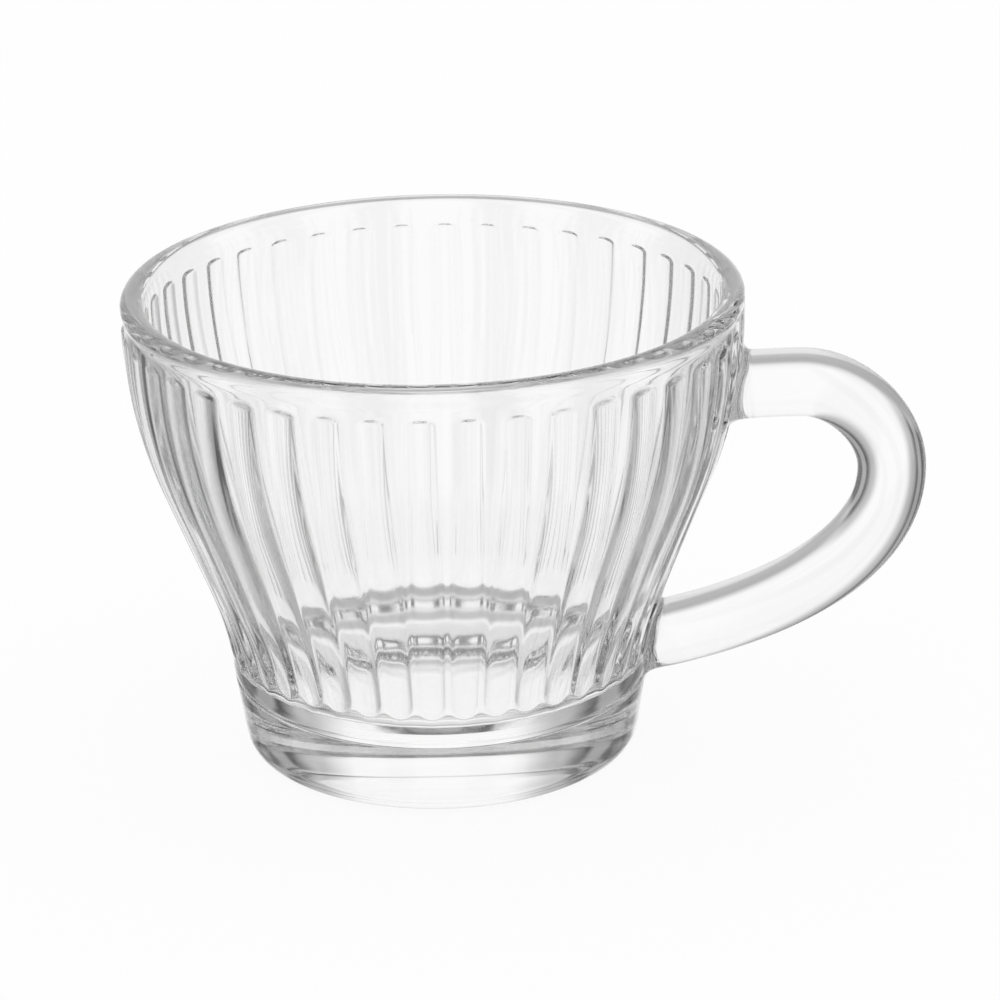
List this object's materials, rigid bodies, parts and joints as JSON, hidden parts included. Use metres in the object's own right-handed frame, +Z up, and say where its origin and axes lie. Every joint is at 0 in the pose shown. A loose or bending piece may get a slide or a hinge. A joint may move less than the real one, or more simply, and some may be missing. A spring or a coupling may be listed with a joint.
{
  "type": "glass coffee cup",
  "caption": "Clear pressed-glass coffee cup with a ribbed bowl that narrows to a solid plain foot, a plain rounded rim and a loop handle.",
  "frame": {"origin": "on the cup's axis, on the plane of the foot's resting ring", "axes": "+Z up along the cup's axis, +X from the axis towards the handle"},
  "size_m": [0.1033, 0.08, 0.063],
  "materials": {
    "bowl_glass": "gloss",
    "foot_glass": "gloss",
    "handle_glass": "gloss"
  },
  "bodies": {
    "root": {"bowl": "bowl_glass", "foot": "foot_glass", "handle": "handle_glass"}
  },
  "joints": []
}
